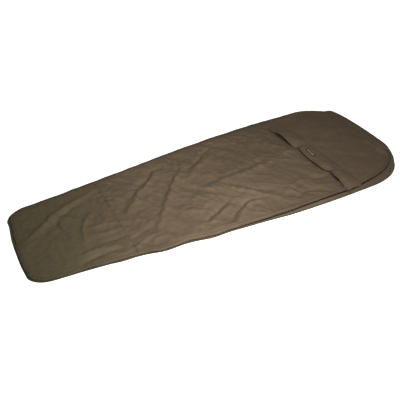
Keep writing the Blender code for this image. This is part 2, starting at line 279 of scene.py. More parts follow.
# Folds of the top cloth: path, height, width, and how much steeper the side on the right of the path is
folds = [
    ([
        (-0.07, 0.251), (-0.196, 0.132), (-0.326, -0.042), (-0.416, -0.161), (-0.48, -0.254),
    ], 0.010, 0.026, 0.3),
    ([(-0.12, 0.267), (-0.16, 0.176), (-0.223, 0.115), (-0.34, -0.028)], -0.005, 0.020, 0.0),
    ([
        (-0.184, 0.312), (-0.275, 0.259), (-0.342, 0.212), (-0.502, 0.082), (-0.589, -0.011),
    ], -0.007, 0.028, 0.0),
    ([(-0.22, 0.262), (-0.33, 0.182), (-0.47, 0.062), (-0.575, -0.052)], 0.008, 0.030, 0.0),
    ([
        (0.156, 0.312), (0.103, 0.293), (0.037, 0.247), (-0.075, 0.183), (-0.122, 0.141),
    ], -0.006, 0.020, 0.3),
    ([(0.12, 0.258), (0.04, 0.203), (-0.06, 0.138), (-0.13, 0.078)], 0.006, 0.026, 0.0),
    ([
        (0.42, 0.052), (0.374, 0.044), (0.193, 0.02), (0.044, 0.017), (-0.099, -0.001),
        (-0.173, -0.037),
    ], -0.004, 0.026, 0.2),
    ([(0.40, 0.007), (0.20, -0.022), (0.05, -0.028), (-0.08, -0.052)], 0.005, 0.030, 0.0),
    ([(0.151, -0.283), (0.065, -0.257), (-0.023, -0.294), (-0.106, -0.356)], -0.008, 0.015, 0.5),
    ([(0.14, -0.307), (0.06, -0.285), (-0.01, -0.323), (-0.08, -0.383)], 0.007, 0.018, 0.0),
    ([(0.001, -0.057), (0.079, -0.161), (0.162, -0.252), (0.231, -0.319)], 0.008, 0.018, 0.4),
    ([(0.04, -0.042), (0.12, -0.142), (0.21, -0.232), (0.30, -0.293)], -0.005, 0.024, 0.0),
    ([(-0.031, -0.204), (-0.162, -0.259), (-0.224, -0.292)], -0.007, 0.017, 0.4),
    ([(-0.02, -0.232), (-0.15, -0.291), (-0.21, -0.323)], 0.006, 0.018, 0.0),
    ([(-0.445, 0.036), (-0.409, -0.054), (-0.38, -0.084)], 0.005, 0.014, 0.3),
    ([
        (-0.64, 0.248), (-0.734, 0.216), (-0.877, 0.167), (-0.936, 0.118), (-1.018, 0.06),
        (-1.10, -0.022),
    ], 0.009, 0.026, 0.6),
    ([(-0.74, 0.178), (-0.87, 0.128), (-0.93, 0.078), (-1.0, 0.022)], -0.005, 0.020, 0.0),
    ([(-0.935, 0.111), (-0.916, 0.029), (-0.897, -0.057)], -0.005, 0.018, -0.3),
    ([(-0.741, 0.065), (-0.807, -0.043), (-0.827, -0.16)], 0.006, 0.017, 0.3),
    ([(-0.604, -0.09), (-0.716, -0.054), (-0.791, -0.052)], 0.005, 0.014, 0.2),
    ([(-0.674, -0.285), (-0.733, -0.264), (-0.803, -0.26), (-0.912, -0.288)], -0.007, 0.018, 0.4),
    ([(-0.68, -0.258), (-0.75, -0.232), (-0.82, -0.223), (-0.90, -0.232)], 0.005, 0.018, 0.0),
    ([(-0.61, -0.142), (-0.70, -0.122), (-0.77, -0.117)], 0.004, 0.013, 0.0),
    ([(-0.61, -0.193), (-0.69, -0.188), (-0.76, -0.197)], -0.004, 0.013, 0.0),
    ([(-0.62, -0.303), (-0.54, -0.258), (-0.45, -0.263)], 0.004, 0.014, 0.0),
    ([(-0.62, -0.232), (-0.55, -0.212), (-0.49, -0.193)], -0.004, 0.012, 0.0),
    ([(0.47, 0.048), (0.534, 0.032), (0.60, 0.002)], 0.004, 0.016, 0.0),
    ([(0.146, -0.038), (0.274, -0.025), (0.401, -0.005), (0.51, 0.018)], 0.004, 0.022, 0.2),
    ([(0.25, -0.315), (0.385, -0.266), (0.497, -0.28)], 0.005, 0.022, 0.2),
    ([(0.297, -0.372), (0.378, -0.35), (0.449, -0.367)], -0.005, 0.018, 0.0),
    ([(0.47, -0.258), (0.54, -0.283), (0.60, -0.298)], -0.006, 0.026, 0.0),
    ([(1.009, -0.17), (0.98, -0.269), (0.985, -0.353)], -0.010, 0.012, 0.3),
    ([(1.024, -0.193), (1.03, -0.273), (1.04, -0.323)], -0.008, 0.011, 0.2),
    ([(0.99, -0.142), (1.0, -0.263), (1.01, -0.333)], 0.008, 0.013, 0.0),
    ([(0.74, 0.178), (0.722, 0.150), (0.722, 0.110)], -0.006, 0.014, 0.0),
    ([(1.02, 0.10), (0.96, 0.02), (0.93, -0.10)], 0.003, 0.030, 0.0),
    ([(0.80, 0.30), (0.86, 0.20), (0.88, 0.08)], 0.003, 0.026, 0.0),
    ([(0.76, -0.16), (0.84, -0.24), (0.90, -0.34)], -0.003, 0.024, 0.0),
    ([(0.98, -0.30), (1.01, -0.22), (1.06, -0.15)], 0.004, 0.012, 0.2),
]


def foldLift(x, y):
    lift = np.zeros(np.shape(x))
    for path, height, width, steep in folds:
        width = width * slack["foldWidth"]
        line = evenly(curved(path), slack["foldStep"])
        along = np.gradient(line, axis=0)
        along /= np.linalg.norm(along, axis=1)[:, None]
        reach = 4 * width
        near = np.nonzero(
            (x > line[:, 0].min() - reach) & (x < line[:, 0].max() + reach)
            & (y > line[:, 1].min() - reach) & (y < line[:, 1].max() + reach)
        )
        if not len(near[0]):
            continue
        points = np.stack([x[near], y[near]], axis=1)
        wander = softNoise(points[:, 0], points[:, 1], slack["foldWanderSize"], 11)
        wander = wander * width * slack["foldWander"]
        gap = points[:, None, :] - line[None, :, :]
        where = (gap**2).sum(2).argmin(1)
        d = gap[np.arange(len(points)), where]
        across = d[:, 0] * along[where, 1] - d[:, 1] * along[where, 0] + wander
        beyond = np.abs((d * along[where]).sum(1))
        share = where / (len(line) - 1)
        scale = width * np.where(across > 0, 1 - 0.5 * steep, 1 + 0.5 * steep)
        fade = np.sin(math.pi * np.clip(share * 0.96 + 0.02, 0, 1)) ** 0.6 * bump(beyond / width)
        lift[near] += height * fade / (1 + (across / scale) ** 2 * 1.6) ** 2
    return lift


def curved(path):
    # a rounded line through the points of a path
    p = np.array(path, float)
    p = np.concatenate([[2 * p[0] - p[1]], p, [2 * p[-1] - p[-2]]])
    t = np.linspace(0, 1, 12, endpoint=False)[:, None]
    parts = []
    for a, b, c, d in zip(p, p[1:], p[2:], p[3:]):
        bend, turn = 2 * a - 5 * b + 4 * c - d, 3 * b - a - 3 * c + d
        parts.append(0.5 * (2 * b + (c - a) * t + bend * t**2 + turn * t**3))
    return np.concatenate(parts + [p[-2][None, :]])


# How wide a band of the top cloth turns down to its edge seam, and how its arc is shaped
roll = {"width": 0.012, "nearFoot": 0.034, "atHood": 0.018, "atHead": 0.04, "power": 2.2}


def edgeRoll(x, y):
    nearFoot = fall(x, 0.10, 0.3) * (y < 0) + fall(x, -0.95, 0.12)
    onHood = roll["atHood"] * rise(x, 0.65, 0.05) + roll["atHead"] * rise(x, 0.72, 0.2)
    return mix(roll["width"], roll["nearFoot"], np.clip(nearFoot, 0, 1)) + onHood


def looseWaves(x, y, free, fromEdge, held):
    # soft waves, slanting ridges, sharp creases and fine crumple
    wx = x + slack["wander"] * softNoise(x, y, slack["wanderSize"], 3)
    wy = y + slack["wander"] * softNoise(x, y, slack["wanderSize"], 4)
    hood = rise(x, 0.66, 0.12)
    slant, lengthwise = wx * 0.80 + wy * 0.60, (wy * 0.80 - wx * 0.60) * 0.35
    diagonal = 1 - 2 * np.abs(softNoise(slant, lengthwise, slack["diagonalSize"], 5))
    slant, lengthwise = wx * 0.9 + wy * 0.3, (wy * 0.9 - wx * 0.3) * 0.5
    crease = 1 - 2 * np.abs(softNoise(slant, lengthwise, slack["creaseSize"], 13))
    spots = smooth((softNoise(x, y, slack["creaseSpots"], 14) + 0.25) / 0.5)
    z = free * slack["broad"] * softNoise(x, y, slack["broadSize"], 7)
    z += free * mix(slack["diagonal"], slack["diagonalOnHood"], hood) * (diagonal - 0.45)
    z += free * mix(slack["crease"], slack["creaseOnHood"], hood) * np.maximum(crease, 0) ** 2 * spots
    fine = softNoise(wx, wy, slack["fineSize"], 8) * mix(1.0, slack["fineOnHood"], hood)
    return z + smooth(fromEdge / 0.02) * slack["fine"] * fine * held


def topHeight(x, y):
    # height of the top cloth over the ground
    inside, edge, arc = toSeam(x, y)
    t = np.clip(inside / edgeRoll(x, y), 0, 1)
    z = mix(edge, valueAt(x, level), np.sqrt(1 - (1 - t) ** roll["power"]))
    # how freely the cloth moves: held at its seams, at the zip and where the flap is sewn on
    toZip, toSewn, toFoot = (np.abs(x - place) for place in (seamAt["zip"], flap["rearX"], seamAt["foot"]))
    free = smooth(inside / 0.045) * smooth(toZip / 0.075) * rise(toSewn, 0.008, 0.05)
    free = free * mix(1.0, slack["footShare"], fall(x, seamAt["foot"], 0.25))
    held = mix(slack["sewnShare"], 1.0, rise(toSewn, 0.006, 0.02))
    z += looseWaves(x, y, free, inside, held)
    # the seam allowance stands up as a narrow ridge
    z += slack["ridge"] * smooth(inside / 0.003) * fall(inside, slack["ridgeWidth"], 0.003)
    byZip = mix(slack["zipShare"], 1.0, smooth(toZip / 0.05))
    z += foldLift(x, y) * slack["fold"] * smooth(inside / 0.03) * byZip * held
    # puckers along the seams, shorter away from them
    wave = softNoise(arc, arc * 0 + 0.3, slack["puckerSize"], 9)
    z += slack["pucker"] * wave * np.exp(-inside / slack["puckerReach"]) * smooth(inside / 0.004)
    side = 0 * y + 0.2 + 0.3 * (x > seamAt["foot"])
    gather = softNoise(y, side, slack["seamPuckerSize"], 10) + 0.6 * softNoise(y, x, 0.05, 12)
    reach = np.exp(-toFoot / slack["seamReach"]) * smooth(toFoot / 0.006) * smooth(inside / 0.02)
    z += slack["seamPucker"] * gather * reach
    z -= slack["seamValley"] * lapLift(y) * bump(toFoot / 0.006) * smooth(inside / 0.02)
    z += slack["crown"] * rise(x, 0.70, 0.22) * smooth(inside / 0.16)
    z -= slack["dip"] * fall(x, 0.56, 0.2) * rise(x, -0.6, 0.2) * smooth(inside / 0.12)
    return np.maximum(z, cloth["floorClear"] * smooth(inside / 0.01) + 0.004)


def coons(low, high, start, end, rows, columns, crowd=0.35):
    # a grid inside four lines: low and high run along it, start and end across it
    u, v = np.linspace(0, 1, rows), np.linspace(0, 1, columns)
    v = v - crowd * np.sin(2 * math.pi * v) / (2 * math.pi)
    low, high = evenly(low, count=rows), evenly(high, count=rows)
    fine = np.linspace(0, 1, 400)

    def spread(line):
        line = evenly(line, count=400)
        return np.stack([np.interp(v, fine, line[:, k]) for k in (0, 1)], axis=1)

    start, end = spread(start), spread(end)
    u, v = u[:, None, None], v[None, :, None]
    along = low[:, None, :] * (1 - v) + high[:, None, :] * v
    across = start[None, :, :] * (1 - u) + end[None, :, :] * u
    corners = (low[0] * (1 - v) + high[0] * v) * (1 - u) + (low[-1] * (1 - v) + high[-1] * v) * u
    return along + across - corners


def between(line, x0, x1):
    # the part of a side line between two places along the sack
    order = np.argsort(line[:, 0], kind="stable")
    ends = [[x, np.interp(x, line[order, 0], line[order, 1])] for x in (x0, x1)]
    inner = line[(line[:, 0] > x0 + 1e-4) & (line[:, 0] < x1 - 1e-4)]
    return np.concatenate([[ends[0]], inner, [ends[1]]])


materials = {}


def floats(values):
    return values.astype(np.float32).ravel()


def newObject(name, mesh, material):
    mesh.materials.append(materials[material])
    thing = bpy.data.objects.new(name, mesh)
    bpy.context.scene.collection.objects.link(thing)
    return thing


def gridMesh(name, points, material, uv=None, shade=None, thick=None, flip=False):
    # a cloth sheet from a grid of points, with its flat coordinates as UV and the darkness of its seams and
    # its painted shade
    rows, columns = points.shape[:2]
    index = np.arange(rows * columns).reshape(rows, columns)
    quads = np.stack([index[:-1, :-1], index[1:, :-1], index[1:, 1:], index[:-1, 1:]], axis=-1)
    quads = quads.reshape(-1, 4)
    if flip:
        quads = quads[:, ::-1]
    mesh = bpy.data.meshes.new(name)
    mesh.vertices.add(rows * columns)
    mesh.vertices.foreach_set("co", floats(points))
    mesh.loops.add(quads.size)
    mesh.loops.foreach_set("vertex_index", quads.astype(np.int32).ravel())
    mesh.polygons.add(len(quads))
    mesh.polygons.foreach_set("loop_start", np.arange(0, quads.size, 4, dtype=np.int32))
    mesh.update(calc_edges=True)
    mesh.validate()
    flat = points[..., :2] if uv is None else uv
    mesh.uv_layers.new(name="cloth").data.foreach_set("uv", floats(flat.reshape(-1, 2)[quads.ravel()]))
    shade = np.zeros((rows, columns)) if shade is None else shade
    mesh.attributes.new("seamShade", "FLOAT", "POINT").data.foreach_set("value", floats(shade))
    mesh.shade_smooth()
    thing = newObject(name, mesh, material)
    solid = thing.modifiers.new("thickness", "SOLIDIFY")
    solid.thickness = cloth["thick"] if thick is None else thick
    solid.offset = -1
    solid.use_rim = True
    return thing


def belongs(piece, body, node):
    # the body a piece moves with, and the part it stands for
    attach(piece, body)
    if node:
        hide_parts(node)


# Node trees


class Link:
    # an output socket; arithmetic on it adds Math nodes
    def __init__(self, nodes, socket):
        self.nodes = nodes
        self.socket = socket

    def math(self, operation, *values):
        return self.nodes.add("ShaderNodeMath", {"operation": operation}, values)

    def __add__(self, other):
        return self.math("ADD", self, other)

    def __sub__(self, other):
        return self.math("SUBTRACT", self, other)

    def __rsub__(self, other):
        return self.math("SUBTRACT", other, self)

    def __mul__(self, other):
        return self.math("MULTIPLY", self, other)

    def __truediv__(self, other):
        return self.math("DIVIDE", self, other)

    def __pow__(self, other):
        return self.math("POWER", self, other)

    __radd__ = __add__
    __rmul__ = __mul__


class Nodes:
    def __init__(self, tree):
        self.tree = tree

    def add(self, kind, settings=None, inputs=(), output=0):
        node = self.tree.nodes.new(kind)
        for key, value in (settings or {}).items():
            if key == "stops":
                for element, (place, colour) in zip(self.elements(node, len(value)), value):
                    element.position = place
                    element.color = (*colour, 1)
            else:
                setattr(node, key, value)
        for key, value in inputs.items() if isinstance(inputs, dict) else enumerate(inputs):
            if isinstance(value, Link):
                self.tree.links.new(value.socket, node.inputs[key])
            else:
                node.inputs[key].default_value = value
        self.last = node
        return Link(self, node.outputs[output])

    def elements(self, node, count):
        ramp = node.color_ramp.elements
        while len(ramp) < count:
            ramp.new(0.5)
        return ramp

    def clamp(self, value, low, high):
        step = {"interpolation_type": "SMOOTHSTEP"}
        return self.add("ShaderNodeMapRange", step, [value, low, high, 0.0, 1.0])

    def colour(self, factor, first, second):
        return self.add("ShaderNodeMix", {"data_type": "RGBA"}, {0: factor, 6: first, 7: second}, 2)

    def noise(self, source, scale, detail, **more):
        values = {"Vector": source, "Scale": scale, "Detail": detail, **more}
        return self.add("ShaderNodeTexNoise", None, values)

    def bump(self, strength, distance, height):
        values = {"Strength": strength, "Distance": distance, "Height": height}
        return self.add("ShaderNodeBump", None, values)

    def objectPlace(self):
        return self.add("ShaderNodeTexCoord", output=3)


def rgb(values):
    return (*values, 1.0)


def newMaterial(name, look):
    material = bpy.data.materials.new(name)
    material.use_nodes = True
    tree = material.node_tree
    shader = tree.nodes["Principled BSDF"]
    for key, value in look.items():
        if key in shader.inputs:
            shader.inputs[key].default_value = rgb(value) if key == "Sheen Tint" else value
    materials[name] = material

    def plug(socket, link):
        tree.links.new(link.socket, shader.inputs[socket])

    return Nodes(tree), plug


def wovenCloth(name, look):
    # plain weave with mottled dye, crumple creases, and darker seams and painted shade from the sheet's
    # darkness attribute
    nodes, plug = newMaterial(name, look)
    uv = nodes.add("ShaderNodeUVMap", {"uv_map": "cloth"})
    place = nodes.objectPlace()
    parts = nodes.add("ShaderNodeSeparateXYZ", inputs=[uv])
    across = Link(nodes, nodes.last.outputs[1])
    pitch = 2 * math.pi / look["thread"]
    warp, weft = (
        nodes.add("ShaderNodeMath", {"operation": "SINE"}, [axis * pitch]) for axis in (parts, across)
    )
    weave = warp * weft
    broad = nodes.noise(place, look["broadScale"], 3.0)
    mottle = nodes.noise(place, look["mottleScale"], 5.0, Roughness=0.62)
    stretched = nodes.add("ShaderNodeMapping", None, {"Vector": uv, "Scale": look["slubScale"]})
    slub = nodes.noise(stretched, 1.0, 2.0)
    # the sheet's darkness per point: dark seams, and painted shade in creases and under the flap's hem
    seam = nodes.add("ShaderNodeAttribute", {"attribute_name": "seamShade"}, output=2)
    tone = nodes.clamp(broad, 0.3, 0.7) * 0.55 + nodes.clamp(mottle, 0.25, 0.75) * 0.45
    colour = nodes.colour(tone, rgb(look["dark"]), rgb(look["light"]))
    spot = nodes.add("ShaderNodeSeparateXYZ", inputs=[place])
    toFoot = nodes.clamp(spot * -1.0 + broad * 0.3, 0.55, 1.15)
    colour = nodes.colour(toFoot, colour, rgb(look["footTint"]))
    colour = nodes.colour(nodes.clamp(slub, 0.45, 0.8) * look["slub"], colour, rgb(look["light"]))
    colour = nodes.colour(seam * look["seamDark"], colour, rgb(look["seam"]))
    colour = nodes.colour(weave * look["weaveTone"] + look["weaveTone"], colour, rgb(look["thread2"]))
    plug("Base Color", colour)
    plug("Roughness", nodes.clamp(mottle, 0.2, 0.8) * look["roughSpread"] + look["Roughness"])
    moved = nodes.add("ShaderNodeVectorMath", {"operation": "ADD"}, [place, nodes.noise(place, 9.0, 2.0)])
    cells = {"Vector": moved, "Scale": look["creaseScale"]}
    crease = nodes.add("ShaderNodeTexVoronoi", {"feature": "DISTANCE_TO_EDGE"}, cells)
    crumple = nodes.noise(place, look["crumpleScale"], 6.0, Roughness=0.55, Distortion=0.6)
    height = crumple * look["crumple"] + nodes.clamp(crease, 0.0, 0.12) * look["crease"]
    height = height + weave * look["weave"] + slub * look["weave"] * 0.5
    plug("Normal", nodes.bump(1.0, 1.0, height))


shellLook = {
    "dark": (0.104, 0.073, 0.044),
    "light": (0.142, 0.101, 0.062),
    "footTint": (0.102, 0.084, 0.043),
    "thread2": (0.085, 0.062, 0.040),
    # colour and weight of the darkening: dark seams, and painted shade in creases and under the flap's hem
    "seam": (0.030, 0.022, 0.015),
    "seamDark": 0.75,
    "thread": 0.0009,
    "weave": 0.00003,
    "weaveTone": 0.10,
    "slub": 0.25,
    "slubScale": (60.0, 900.0, 1.0),
    "broadScale": 2.6,
    "mottleScale": 22.0,
    "creaseScale": 9.0,
    "crumpleScale": 26.0,
    "crumple": 0.0022,
    "crease": 0.0006,
    "Roughness": 0.58,
    "roughSpread": 0.14,
    "Specular IOR Level": 0.18,
    "Sheen Weight": 0.04,
    "Sheen Roughness": 0.45,
    "Sheen Tint": (0.85, 0.78, 0.66),
}
weaves = {
    "shellFabric": {},
    "floorFabric": {
        "dark": (0.060, 0.045, 0.030), "light": (0.078, 0.058, 0.039), "crumple": 0.0010,
        "Roughness": 0.45, "roughSpread": 0.12,
    },
    "tapeWeave": {
        "dark": (0.050, 0.040, 0.027), "light": (0.070, 0.056, 0.038), "thread": 0.0014, "weave": 0.00010,
        "crumple": 0.0004, "crease": 0.0, "Roughness": 0.8, "roughSpread": 0.1,
    },
    "labelWeave": {
        "dark": (0.050, 0.038, 0.026), "light": (0.062, 0.048, 0.033), "thread": 0.0008, "weave": 0.00006,
        "crumple": 0.0004, "crease": 0.0, "Roughness": 0.62, "roughSpread": 0.1,
    },
}
for name, change in weaves.items():
    wovenCloth(name, {**shellLook, **change})


def simpleFinish(name, look):
    # thread, metal, moulded teeth and coated tape: mottled colour, worn spots, fine bump
    nodes, plug = newMaterial(name, look)
    place = nodes.objectPlace()
    fine = nodes.noise(place, look["fineScale"], 4.0)
    broad = nodes.noise(place, look["fineScale"] * 0.12, 3.0)
    colour = nodes.colour(nodes.clamp(broad, 0.3, 0.7), rgb(look["dark"]), rgb(look["light"]))
    wear = nodes.clamp(fine, look["wearFrom"], look["wearFrom"] + 0.1)
    plug("Base Color", nodes.colour(wear * look["wearAmount"], colour, rgb(look["worn"])))
    plug("Roughness", nodes.clamp(fine, 0.3, 0.7) * look["roughSpread"] + look["Roughness"])
    plug("Normal", nodes.bump(0.6, look["bump"], fine))


finishes = {
    "thread": {
        "dark": (0.030, 0.022, 0.014), "light": (0.050, 0.037, 0.024), "worn": (0.08, 0.06, 0.04),
        "wearFrom": 0.6, "wearAmount": 0.4, "fineScale": 900.0, "bump": 0.00015,
        "Roughness": 0.6, "roughSpread": 0.2, "Sheen Weight": 0.2,
    },
    "teethPlastic": {
        "dark": (0.065, 0.052, 0.036), "light": (0.095, 0.078, 0.054), "worn": (0.20, 0.17, 0.12),
        "wearFrom": 0.62, "wearAmount": 0.6, "fineScale": 400.0, "bump": 0.0001,
        "Roughness": 0.32, "roughSpread": 0.2, "Coat Weight": 0.15,
    },
    "zipMetal": {
        "dark": (0.10, 0.085, 0.065), "light": (0.14, 0.12, 0.09), "worn": (0.45, 0.40, 0.32),
        "wearFrom": 0.64, "wearAmount": 0.8, "fineScale": 350.0, "bump": 0.0001,
        "Roughness": 0.34, "roughSpread": 0.22, "Metallic": 0.85,
    },
    "sealTape": {
        "dark": (0.20, 0.19, 0.17), "light": (0.27, 0.26, 0.23), "worn": (0.15, 0.14, 0.12),
        "wearFrom": 0.6, "wearAmount": 0.5, "fineScale": 120.0, "bump": 0.0003,
        "Roughness": 0.3, "roughSpread": 0.2, "Coat Weight": 0.1,
    },
    "patchPile": {
        "dark": (0.045, 0.036, 0.024), "light": (0.070, 0.055, 0.037), "worn": (0.10, 0.08, 0.055),
        "wearFrom": 0.55, "wearAmount": 0.5, "fineScale": 700.0, "bump": 0.0004,
        "Roughness": 0.85, "roughSpread": 0.1, "Sheen Weight": 0.3,
    },
    "labelThread": {
        "dark": (0.36, 0.32, 0.24), "light": (0.46, 0.41, 0.32), "worn": (0.30, 0.26, 0.19),
        "wearFrom": 0.55, "wearAmount": 0.6, "fineScale": 700.0, "bump": 0.0002,
        "Roughness": 0.6, "roughSpread": 0.2, "Sheen Weight": 0.2,
    },
}
for name, look in finishes.items():
    simpleFinish(name, look)
print("materials made")

# Top cloth and the shape of the flap's hem, which shades it

flap = {
    "rearX": 0.7005,
    "rearZ": 0.0612,
    "hemPath": [  # y, hem x, hem z, how full the flap stands
        (0.3115, 0.592, 0.0535, 0.2),
        (0.2775, 0.592, 0.0545, 0.5),
        (0.2395, 0.591, 0.0600, 0.7),
        (0.1950, 0.588, 0.0770, 1.0),
        (0.1275, 0.587, 0.0790, 1.1),
        (0.0780, 0.590, 0.0680, 1.0),
        (0.0395, 0.598, 0.0550, 1.1),
        (0.0235, 0.621, 0.0540, 1.6),
        (0.0075, 0.609, 0.0600, 1.4),
        (-0.0225, 0.600, 0.0645, 1.2),
        (-0.0725, 0.591, 0.0650, 1.1),
        (-0.1325, 0.588, 0.0645, 1.1),
        (-0.1925, 0.590, 0.0665, 1.1),
        (-0.2375, 0.598, 0.0590, 1.3),
        (-0.2655, 0.612, 0.0560, 1.6),
        (-0.2785, 0.635, 0.0560, 1.7),
        (-0.2945, 0.614, 0.0640, 1.2),
        (-0.3325, 0.600, 0.0710, 1.0),
        (-0.3825, 0.594, 0.0720, 0.9),
        (-0.4275, 0.592, 0.0600, 0.7),
        (-0.4605, 0.602, 0.0400, 0.3),
    ],
    "columns": 170,
    "rows": 40,
    "thick": 0.0011,
    "hemBand": 0.012,
    "hemFold": 0.0007,
    "pleats": (0.0235, -0.2785),
    "pleatDeep": 0.010,
    "pleatRidge": 0.004,
    "droop": 0.016,
    "wave": 0.0035,
    "crumple": 0.0012,
}
lap = {"back": 0.008, "low": 0.0003, "high": 0.0010, "y": 0.16, "over": 0.20}


def hemLine():
    path = curved(np.array(flap["hemPath"])[::-1])
    return path[np.argsort(path[:, 0], kind="stable")]


def lapLift(y):
    # how far the body cloth's lap stands up at the foot seam
    return mix(lap["low"], lap["high"], fall(y, lap["y"], lap["over"]))


def topSheet(name, xy, body, node):
    x, y = xy[..., 0], xy[..., 1]
    z = topHeight(x, y)
    if name == "bodyCloth":
        z = z + lapLift(y) * smooth((seamAt["foot"] + 0.006 - x) / 0.004)
    inside = toSeam(x, y)[0]
    # darker at the seams: the seam's own dark line and a dark line along its stitch row, with painted shade
    # where the cloth turns down to the seam
    shade = np.maximum(np.exp(-inside / 0.004), 0.55 * bump((inside - 0.014) / 0.003))
    # painted shade under the flap's hem, where its shadow falls on the body cloth
    path = hemLine()
    hemX = np.interp(y, path[:, 0], path[:, 1], left=1.0, right=1.0)
    shade = np.maximum(shade, smooth((x - hemX - 0.001) / 0.006) * (x < 0.64))
    sheet = gridMesh(name, np.dstack([xy, z]), "shellFabric", shade=shade)
    belongs(sheet, body, node)


def corner(line, end):
    # where a side turns into the end, part of the way round its corner
    inset = 0.30 * plan["footCorner" if end < 0 else "headCorner"]
    return int(np.argmin(np.abs(line[:, 0] - end * (plan["length"] / 2 - inset))))


def straight(x):
    # a line across the sack from seam to seam
    return np.array([[x, np.interp(x, line[:, 0], line[:, 1])] for line in (nearSeam, farSeam)])


def mouthEdge(side):
    # the cloth's edge at the mouth: open over the zip, closed up beyond its ends
    closed = seamAt["zip"] + 0.0004 * side
    opened = seamAt["mouthEnd" if side > 0 else "mouthStart"] + 0.001 * side
    y = np.linspace(*straight(closed)[:, 1], 600)
    low, high = seamAt["zipEnds"]
    across = smooth((y - low + 0.004) / 0.012) * smooth((high + 0.004 - y) / 0.012)
    return np.stack([mix(closed, opened, across), y], axis=1)


def ends(near, far, end):
    # the near and far lines' corner places, and the line round the end between them
    nearCut, farCut = corner(near, end), corner(far, end)
    if end < 0:
        return nearCut, farCut, np.concatenate([near[:nearCut + 1][::-1], far[:farCut + 1]])
    return nearCut, farCut, np.concatenate([near[nearCut:], far[farCut:][::-1]])


def topGrids():
    step = cloth["gridStep"]
    footX = seamAt["foot"] + 0.001
    lapX = seamAt["foot"] - lap["back"]
    nearCut, farCut, footEnd = ends(nearSeam, farSeam, -1)
    foot = coons(
        low=between(nearSeam, nearSeam[nearCut, 0], footX),
        high=between(farSeam, farSeam[farCut, 0], footX),
        start=footEnd, end=straight(footX),
        rows=round(0.53 / step), columns=round(0.55 / step),
    )
    lower, upper = mouthEdge(-1), mouthEdge(1)
    body = coons(
        low=between(nearSeam, lapX, lower[0, 0]), high=between(farSeam, lapX, lower[0, 0]),
        start=straight(lapX), end=lower,
        rows=round(1.245 / step), columns=round(0.76 / step),
    )
    nearCut, farCut, headEnd = ends(nearSeam, farSeam, 1)
    fine = step * 0.85
    hood = coons(
        low=between(nearSeam, upper[0, 0], nearSeam[nearCut, 0]),
        high=between(farSeam, upper[0, 0], farSeam[farCut, 0]),
        start=upper, end=headEnd,
        rows=round(0.45 / fine), columns=round(0.78 / fine),
    )
    return foot, body, hood


footGrid, bodyGrid, hoodGrid = topGrids()
topSheet("footCloth", footGrid, "sack", "foot_panel")
topSheet("bodyCloth", bodyGrid, "sack", "body_panel")
topSheet("hoodCloth", hoodGrid, "hood", "hood_panel")
print("top cloth laid")


# Walls and floor

walls = {
    "rows": 12,
    "foot": 0.0026,
    "head": 0.0006,  # how far the wall stops under the top seam
    "joinX": 0.625,
    "endX": 1.01,
    "bulge": 0.056,
    "ripple": 0.0022,
    "rippleSize": 0.045,
    "fineSize": 0.016,
    "overlap": 0.004,
    "blendFrom": 0.006,
    "blendTo": 0.046,
}


def wallPoints(low, out, seam, high, full, arc):
    t = np.linspace(0, 1, walls["rows"])[None, :]
    high, full, arc = high[:, None], full[:, None], arc[:, None]
    inward = mix(t, 1 - np.cos(t * math.pi / 2), full)
    upward = mix(t, np.sin(t * math.pi / 2), full)
    place = low[:, None, :] + (seam - low)[:, None, :] * inward[..., None]
    z = walls["foot"] + (high - walls["head"] - walls["foot"]) * upward
    belly = np.sin(math.pi * t) ** 0.8
    ripple = softNoise(arc + 0 * t, t * 0.06 + 0 * arc, walls["rippleSize"], 21)
    fine = softNoise(arc + 0 * t, t * 0.05 + 0 * arc, walls["fineSize"], 22)
    grow = np.clip(high / 0.05, 0.25, 1.6)
    push = (walls["bulge"] * high + (ripple + 0.35 * fine) * walls["ripple"] * grow) * belly
    place = place + out[:, None, :] * push[..., None]
    return np.dstack([place, z]), t


def wallSheet(name, parts, node, body=None):
    low, out, seam, high, full = (np.concatenate([p[k] for p in parts]) for k in range(5))
    arc = lengthAlong(low)
    points, t = wallPoints(low, out, seam, high, full, arc)
    up = t * high[:, None]
    # painted shade along the wall's foot by the floor, and darker under its top seam, partly the dark seam
    # and partly painted shade
    shade = np.exp(-np.minimum(up, high[:, None] - up) / 0.004)
    uv = np.dstack([arc[:, None] + 0 * t, up])
    sheet = gridMesh(name, points, "shellFabric", uv=uv, shade=shade, flip=True)
    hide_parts(node)
    if body:
        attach(sheet, body)
    else:
        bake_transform(sheet)


def sidePart(side, x0, x1, turn=False):
    # a run of the rim on one side; turned, it goes from head to foot
    rim = (farLow, farOut, farSeam, farHigh, farRound)
    if side < 0:
        rim = (nearLow, nearOut, nearSeam, nearHigh, nearRound)
    keep = np.nonzero((rim[0][:, 0] >= x0) & (rim[0][:, 0] <= x1))[0]
    return [line[keep[::-1] if turn else keep] for line in rim]


past = 2  # beyond either end of the sack
endX, joinX = walls["endX"], walls["joinX"]
sideX = -endX - walls["overlap"]
footRun = [sidePart(-1, -past, -endX, True), sidePart(1, -past, -endX)]
headRun = [sidePart(1, joinX, past), sidePart(-1, joinX, past, True)]
wallSheet("footWall", footRun, "foot_wall", "sack")
wallSheet("farWall", [sidePart(1, sideX, joinX)], "side_wall_right", "sack")
wallSheet("nearWall", [sidePart(-1, sideX, joinX, True)], "side_wall_left", "sack")
wallSheet("hoodWall", headRun, "head_wall")


ground = {
    "rows": 220, "columns": 90, "crowd": 0.5,
    "lip": 0.0028, "height": 0.0019, "wave": 0.0003, "thick": 0.0014,
}


